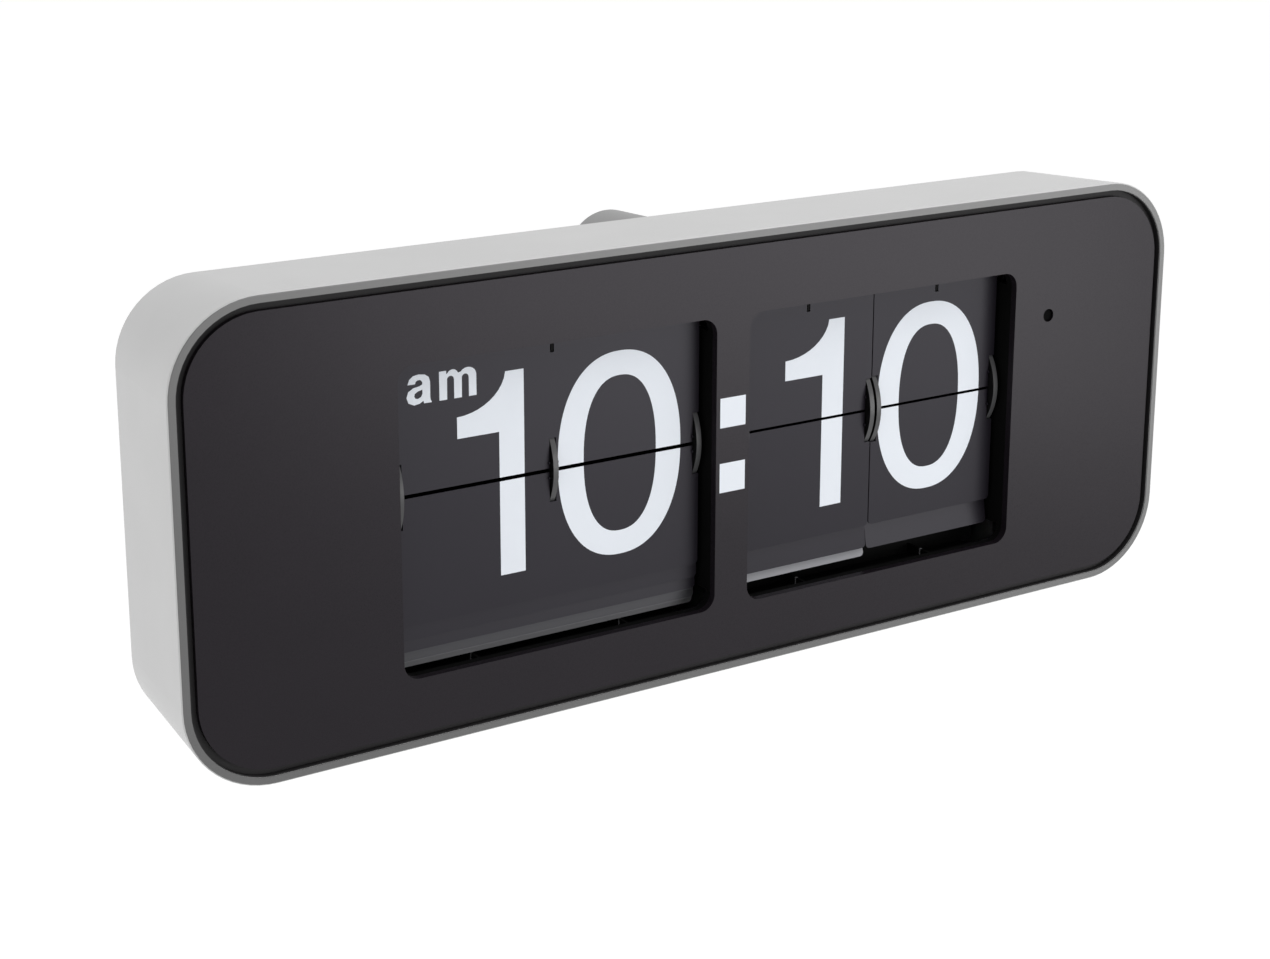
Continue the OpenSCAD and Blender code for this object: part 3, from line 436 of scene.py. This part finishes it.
def cut(mesh, point, normal):
    """Keeps the part of a flat mesh on the side that normal points to."""
    geometry = mesh.verts[:] + mesh.edges[:] + mesh.faces[:]
    bmesh.ops.bisect_plane(mesh, geom=geometry, plane_co=point, plane_no=normal, clear_inner=True)


def filled(shapes):
    """Flat mesh of some shapes, each an outer loop and the loops of its holes."""
    mesh = bmesh.new()
    for loops in shapes:
        edges = []
        for loop in loops:
            verts = [mesh.verts.new((x, 0, z)) for x, z in loop]
            edges += [mesh.edges.new((verts[i - 1], verts[i])) for i in range(len(verts))]
        bmesh.ops.triangle_fill(mesh, use_beauty=True, edges=edges)
    return mesh


def thicken(mesh, y_front, y_back):
    """Turns a flat mesh into a closed solid between two depths."""
    for v in mesh.verts:
        v.co.y = y_front
    grown = bmesh.ops.extrude_face_region(mesh, geom=mesh.faces[:])
    for item in grown["geom"]:
        if isinstance(item, bmesh.types.BMVert):
            item.co.y = y_back
    bmesh.ops.recalc_face_normals(mesh, faces=mesh.faces[:])


def add_piece(name, mesh, finish, body, place=Matrix.Identity(4)):
    """Makes an object from a mesh in front-frame millimetres, placed by a matrix, riding on a body."""
    data = bpy.data.meshes.new(name)
    to_row = Matrix.Scale(1 / MM_PER_M, 4) @ Matrix.Translation((0, -TOTAL_DEPTH, -BOSS_Z))
    mesh.transform(to_row @ place)
    mesh.to_mesh(data)
    mesh.free()
    piece = bpy.data.objects.new(name, data)
    scene.collection.objects.link(piece)
    data.materials.append(finish.material)
    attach(piece, body)


def pin_angle(drum, step=0):
    """Angle of a leaf's pin above the split, where the front upper leaf is step 0."""
    return (step + 0.5) * 2 * math.pi / COUNTS[drum]


def pin_rise(drum):
    return PIN_R * math.sin(pin_angle(drum))


def leaf_place(drum, step, lean):
    """Matrix from a standing leaf's own frame, at its hinge bead, to the front frame."""
    angle = pin_angle(drum, step)
    pin = Vector((0, DRUM_Y - PIN_R * math.cos(angle), SPLIT_Z + PIN_R * math.sin(angle)))
    return Matrix.Translation(pin) @ Matrix.Rotation(-lean, 4, "X")


# A standing leaf behind the front one leans back by this share of its pin's angle
LEAN_SHARE = 0.2


def upper_print(name, drum, shapes, body, step=0):
    """Upper half of a print on a standing leaf."""
    mesh = filled(shapes)
    cut(mesh, (0, 0, SPLIT_Z + SPLITS[drum] / 2), (0, 0, 1))
    thicken(mesh, FRONT_FACE - PRINT_T, FRONT_FACE + PRINT_SINK)
    mesh.transform(Matrix.Translation((0, 0, -SPLIT_Z - pin_rise(drum))))
    lean = 0.0 if step == 0 else pin_angle(drum, step) * LEAN_SHARE
    add_piece(name, mesh, print_white, body, leaf_place(drum, step, lean))


def lower_print(name, drum, shapes):
    """Lower half of a print on the front hanging leaf."""
    mesh = filled(shapes)
    cut(mesh, (0, 0, SPLIT_Z - SPLITS[drum] / 2), (0, 0, -1))
    thicken(mesh, FRONT_FACE - PRINT_T, FRONT_FACE + PRINT_SINK)
    pin_y = DRUM_Y - PIN_R * math.cos(pin_angle(drum))
    add_piece(name, mesh, print_white, "clock", Matrix.Translation((0, pin_y, 0)))


def rear_print(name, drum, shapes, body):
    """Lower half of the next print on the back of the falling leaf, upside down while the leaf stands."""
    mesh = filled(shapes)
    cut(mesh, (0, 0, SPLIT_Z - SPLITS[drum] / 2), (0, 0, -1))
    mesh.transform(Matrix.Translation((0, 0, pin_rise(drum) - SPLIT_Z)))
    mesh.transform(Matrix.Rotation(math.pi, 4, "X"))
    thicken(mesh, BACK_FACE + PRINT_T, BACK_FACE - PRINT_SINK)
    add_piece(name, mesh, print_white, body, leaf_place(drum, 0, 0.0))


# Boxes of the digits as left, right, bottom and top
HOUR_ONE = (-91.15, -69.2, -25.8, 36.0)
HOUR_ZERO = (-57.95, -14.6, -26.8, 36.85)
HOUR_NEXT = (-46.0, -22.4, -25.8, 36.0)
TENS_ONE = (25.0, 47.9, -25.7, 36.0)
TENS_TWO = (12.5, 55.0, -25.7, 36.6)
UNITS_ZERO = (62.15, 105.0, -26.9, 36.5)
UNITS_ONE = (74.0, 97.6, -25.7, 36.0)
# Boxes of the letters as left, bottom, width and height
AM_LETTERS = [letter_a(-107.0, 30.4, 7.9, 8.65), letter_m(-96.6, 30.4, 11.9, 8.65)]

# What each drum shows now and next, and what only stands above the split
PRINTS = {
    "hour": ([one(*HOUR_ONE), zero(*HOUR_ZERO)], [one(*HOUR_ONE), one(*HOUR_NEXT)], AM_LETTERS),
    "tens": ([one(*TENS_ONE)], [two(*TENS_TWO)], []),
    "units": ([zero(*UNITS_ZERO)], [one(*UNITS_ONE)], []),
}
for drum, (now, later, above) in PRINTS.items():
    upper_print(f"{drum}_upper_print", drum, now + above, f"{drum}_leaf")
    lower_print(f"{drum}_lower_print", drum, now)
    upper_print(f"{drum}_next_upper_print", drum, later + above, "clock", step=1)
    rear_print(f"{drum}_next_lower_print", drum, later, f"{drum}_leaf")


# Dark lining of the channel between rim and panel

LINING_T = 0.25
LINING_TOP, LINING_FLOOR = 0.4, 2.2
LINING_WALL_PLAY, LINING_PANEL_TUCK = 0.03, 0.05
CHANNEL_BACK = PANEL_RECESS + PANEL_T
CORNER_STEPS = 24


def rounded_loop(inset):
    """Outline of the case's front, drawn in by inset, as x-z points."""
    r = CORNER_R - inset
    fx, fz = CASE_W / 2 - CORNER_R, CASE_H / 2 - CORNER_R
    points = []
    for sx, sz, start in ((1, 1, 0), (-1, 1, 90), (-1, -1, 180), (1, -1, 270)):
        points += arc(sx * fx, sz * fz, r, r, start, start + 90, CORNER_STEPS)
    return points


def swept_ring(section):
    """Closed ring whose cross-section is a loop of (inset, depth) corners."""
    mesh = bmesh.new()
    rows = []
    for inset, depth in section:
        rows.append([mesh.verts.new((x, depth, z)) for x, z in rounded_loop(inset)])
    count = len(rows[0])
    for k in range(len(rows)):
        a, b = rows[k - 1], rows[k]
        for i in range(count):
            mesh.faces.new((a[i - 1], a[i], b[i], b[i - 1]))
    bmesh.ops.recalc_face_normals(mesh, faces=mesh.faces[:])
    return mesh


wall_in = CASE_WALL + LINING_WALL_PLAY
panel_in = CASE_WALL + GROOVE_W - LINING_PANEL_TUCK
lining_section = [
    (wall_in, LINING_TOP), (wall_in + LINING_T, LINING_TOP), (wall_in + LINING_T, LINING_FLOOR),
    (panel_in, LINING_FLOOR), (panel_in, CHANNEL_BACK), (wall_in, CHANNEL_BACK),
]
add_piece("channel_lining", swept_ring(lining_section), gasket, "clock")


# Black sill along the rear edge of each chamber floor, below the hanging leaves

SILL_HALF_W = 53.5
SILL_FLOOR, SILL_TOP = -53.2, -44.8
SILL_FRONT, SILL_BACK = 18.4, 19.0

for room, sign in (("hour", -1), ("minute", 1)):
    left, right = sign * WINDOW_X - SILL_HALF_W, sign * WINDOW_X + SILL_HALF_W
    sill = filled([[[(left, SILL_FLOOR), (right, SILL_FLOOR), (right, SILL_TOP), (left, SILL_TOP)]]])
    thicken(sill, SILL_FRONT, SILL_BACK)
    add_piece(f"{room}_sill", sill, matte_black, "clock")


# Trim on the back: rubber tips on the wall spacers, moulded arrow on the battery door

SPACER_X, SPACER_Z = 100.0, -45.0
TIP_PROFILE = [(7.25, 71.0), (7.1, 74.4), (6.5, 75.02)]
TIP_STEPS = 40
DOOR_X, DOOR_BACK = -146.075, 50.6
ARROW_BASE_Z, ARROW_TIP_Z = -7.0, -14.0
ARROW_HALF_W = 4.5
ARROW_RISE = 0.4


def lathe(profile, steps):
    """Closed solid turned about the y axis from (radius, y) corners, its ends flat."""
    mesh = bmesh.new()
    angles = [2 * math.pi * i / steps for i in range(steps)]
    rows = []
    for radius, y in profile:
        rows.append([mesh.verts.new((radius * math.cos(a), y, radius * math.sin(a))) for a in angles])
    for a, b in zip(rows, rows[1:]):
        for i in range(steps):
            mesh.faces.new((a[i - 1], a[i], b[i], b[i - 1]))
    mesh.faces.new(rows[0])
    mesh.faces.new(rows[-1])
    bmesh.ops.recalc_face_normals(mesh, faces=mesh.faces[:])
    return mesh


for side, sign in (("left", -1), ("right", 1)):
    tip_place = Matrix.Translation((sign * SPACER_X, 0, SPACER_Z))
    add_piece(f"spacer_tip_{side}", lathe(TIP_PROFILE, TIP_STEPS), gasket, "clock", tip_place)

arrow_base = [(DOOR_X - ARROW_HALF_W, ARROW_BASE_Z), (DOOR_X + ARROW_HALF_W, ARROW_BASE_Z)]
door_arrow = filled([[[*arrow_base, (DOOR_X, ARROW_TIP_Z)]]])
thicken(door_arrow, DOOR_BACK - PRINT_SINK, DOOR_BACK + ARROW_RISE)
add_piece("door_arrow", door_arrow, back_grey, "battery_door")


# Stage and light

FLOOR_Z = -0.62
FLOOR_SIDE = 40.0
FLOOR_GREY = (0.75, 0.75, 0.75, 1)
FLOOR_SEEN_GREY = (0.25, 0.25, 0.25, 1)
FLOOR_SEEN_GLOW = 0.88
WORLD_LEVEL = 0.5
WORLD_SEEN_LEVEL = 1.0
LAMP_TARGET = at(0, 20, 0)
LAMPS = {
    "top_softbox": {"place": (0.55, -0.35, 1.2), "size": (1.6, 1.0), "power": 10.5},
    "left_softbox": {"place": (-1.4, 0.15, -0.12), "size": (1.0, 0.9), "power": 6.4},
    "front_fill": {"place": (0.74, -1.15, -0.12), "size": (0.8, 0.6), "power": 5.9},
}


def mixed(tree, factor, first, second):
    mix = node_of(tree, "ShaderNodeMixShader")
    for socket, source in zip(mix.inputs, (factor, first.outputs[0], second.outputs[0])):
        tree.links.new(source, socket)
    return mix


def floor_material():
    """White where it is seen, with the shadow kept, plain grey as a source of light, and clear from below."""
    material = bpy.data.materials.new("floor_white")
    material.use_nodes = True
    tree = material.node_tree
    tree.nodes.clear()
    path = node_of(tree, "ShaderNodeLightPath")
    seen = node_of(tree, "ShaderNodeMath", operation="ADD")
    tree.links.new(path.outputs["Is Camera Ray"], seen.inputs[0])
    tree.links.new(path.outputs["Is Glossy Ray"], seen.inputs[1])
    plain = node_of(tree, "ShaderNodeBsdfDiffuse", Color=FLOOR_GREY)
    shaded = node_of(tree, "ShaderNodeBsdfDiffuse", Color=FLOOR_SEEN_GREY)
    glow = node_of(tree, "ShaderNodeEmission", Strength=FLOOR_SEEN_GLOW)
    bright = node_of(tree, "ShaderNodeAddShader")
    tree.links.new(shaded.outputs[0], bright.inputs[0])
    tree.links.new(glow.outputs[0], bright.inputs[1])
    upper = mixed(tree, seen.outputs[0], plain, bright)
    side = node_of(tree, "ShaderNodeNewGeometry")
    clear = node_of(tree, "ShaderNodeBsdfTransparent")
    one_sided = mixed(tree, side.outputs["Backfacing"], upper, clear)
    out = node_of(tree, "ShaderNodeOutputMaterial")
    tree.links.new(one_sided.outputs[0], out.inputs["Surface"])
    return material


def make_floor():
    mesh = bmesh.new()
    bmesh.ops.create_grid(mesh, x_segments=1, y_segments=1, size=FLOOR_SIDE / 2)
    data = bpy.data.meshes.new("floor")
    mesh.to_mesh(data)
    mesh.free()
    floor = bpy.data.objects.new("floor", data)
    floor.location.z = FLOOR_Z
    scene.collection.objects.link(floor)
    data.materials.append(floor_material())


def make_world():
    """White where it is seen or mirrored, dimmer as a source of light."""
    world = bpy.data.worlds.new("studio")
    world.use_nodes = True
    tree = world.node_tree
    path = node_of(tree, "ShaderNodeLightPath")
    shown = node_of(tree, "ShaderNodeMath", operation="MAXIMUM")
    tree.links.new(path.outputs["Is Camera Ray"], shown.inputs[0])
    tree.links.new(path.outputs["Is Transmission Ray"], shown.inputs[1])
    seen = node_of(tree, "ShaderNodeMath", operation="MAXIMUM")
    tree.links.new(shown.outputs[0], seen.inputs[0])
    tree.links.new(path.outputs["Is Glossy Ray"], seen.inputs[1])
    level = node_of(tree, "ShaderNodeMapRange")
    level.inputs["To Min"].default_value = WORLD_LEVEL
    level.inputs["To Max"].default_value = WORLD_SEEN_LEVEL
    tree.links.new(seen.outputs[0], level.inputs["Value"])
    background = tree.nodes["Background"]
    background.inputs["Color"].default_value = (1, 1, 1, 1)
    tree.links.new(level.outputs["Result"], background.inputs["Strength"])
    scene.world = world


def soft_lamp(name, place, size, power):
    data = bpy.data.lights.new(name, "AREA")
    data.shape = "RECTANGLE"
    data.size, data.size_y = size
    data.energy = power
    lamp = bpy.data.objects.new(name, data)
    lamp.location = place
    lamp.rotation_euler = (LAMP_TARGET - Vector(place)).to_track_quat("-Z", "Y").to_euler()
    scene.collection.objects.link(lamp)


make_floor()
make_world()
for name, lamp in LAMPS.items():
    soft_lamp(name, **lamp)
